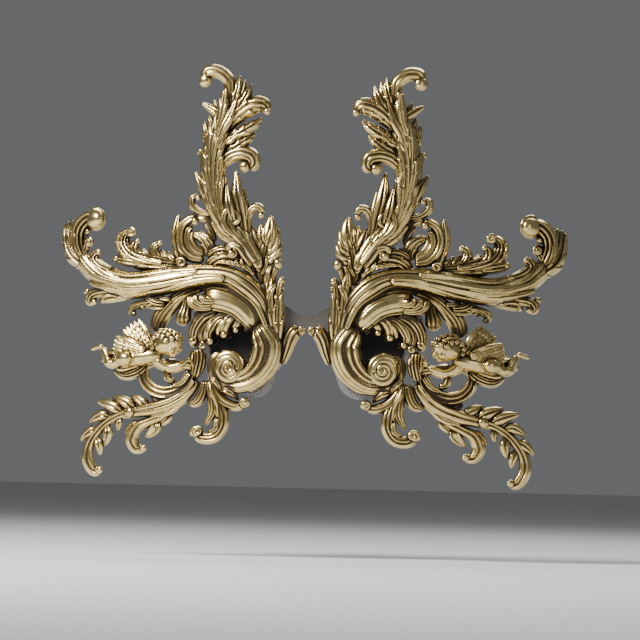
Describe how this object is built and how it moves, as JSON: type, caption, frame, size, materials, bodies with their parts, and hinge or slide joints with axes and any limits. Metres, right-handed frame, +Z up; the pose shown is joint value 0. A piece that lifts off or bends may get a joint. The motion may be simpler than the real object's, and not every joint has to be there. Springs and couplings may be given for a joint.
{
  "type": "venetian masquerade mask",
  "caption": "Rococo masquerade mask: smoke-tinted glasses with folding temples, covered in gilded scroll, leaf, plume and cherub castings.",
  "frame": {"origin": "the point on the wearer's nose where the bridge rests, on the mask's middle plane", "axes": "+X to the wearer's left, front faces -Y, temples run towards +Y, +Z up"},
  "size_m": [0.3536, 0.1401, 0.2873],
  "materials": {
    "smoke_acetate": "polished translucent smoke acetate",
    "gradient_lens": "smoke gradient, dark at the top and nearly clear at the bottom",
    "clear_silicone": "clear satin silicone",
    "hinge_metal": "nickel-washed brass",
    "screw_steel": "plain steel",
    "gold_casting": "antiqued champagne-gold lacquer over cast resin"
  },
  "bodies": {
    "front": {"frame_front": "smoke_acetate", "lens_left": "gradient_lens", "lens_right": "gradient_lens", "nose_pad_left": "clear_silicone", "nose_pad_right": "clear_silicone", "hinge_front_left": "hinge_metal", "hinge_front_right": "hinge_metal", "hinge_screw_left": "screw_steel", "hinge_screw_right": "screw_steel", "front_rivets": "screw_steel", "eye_scroll_left": "gold_casting", "eye_scroll_right": "gold_casting", "eye_lobes_left": "gold_casting", "eye_lobes_right": "gold_casting", "brow_band_left": "gold_casting", "brow_band_right": "gold_casting", "bridge_curl_left": "gold_casting", "bridge_curl_right": "gold_casting", "inner_leaf_left": "gold_casting", "inner_leaf_right": "gold_casting", "wing_stem_left": "gold_casting", "wing_stem_right": "gold_casting", "wing_curl_left": "gold_casting", "wing_curl_right": "gold_casting", "spray_leaf_left": "gold_casting", "spray_leaf_right": "gold_casting", "lower_leaf_left": "gold_casting", "lower_leaf_right": "gold_casting", "mid_leaf_left": "gold_casting", "mid_leaf_right": "gold_casting", "strap_left": "gold_casting", "strap_right": "gold_casting", "plume_left": "gold_casting", "plume_right": "gold_casting", "crest_leaf_left": "gold_casting", "crest_leaf_right": "gold_casting", "side_shell_left": "gold_casting", "side_shell_right": "gold_casting", "flower_leaf_left": "gold_casting", "flower_leaf_right": "gold_casting", "ribbon_loop_left": "gold_casting", "ribbon_loop_right": "gold_casting", "cherub_left": "gold_casting", "cherub_right": "gold_casting", "laurel_left": "gold_casting", "laurel_right": "gold_casting", "tendrils_left": "gold_casting", "tendrils_right": "gold_casting"},
    "temple_arm_left": {"temple_left": "smoke_acetate", "temple_core_left": "screw_steel", "hinge_temple_left": "hinge_metal", "temple_rivets_left": "screw_steel"},
    "temple_arm_right": {"temple_right": "smoke_acetate", "temple_core_right": "screw_steel", "hinge_temple_right": "hinge_metal", "temple_rivets_right": "screw_steel"}
  },
  "joints": [
    {"name": "temple_fold_left", "type": "hinge", "parent": "front", "child": "temple_arm_left", "pos_m": [0.071, 0.014, 0.015], "axis": [0, 0, 1], "range_deg": [0, 90]},
    {"name": "temple_fold_right", "type": "hinge", "parent": "front", "child": "temple_arm_right", "pos_m": [-0.071, 0.014, 0.015], "axis": [0, 0, -1], "range_deg": [0, 80]}
  ]
}
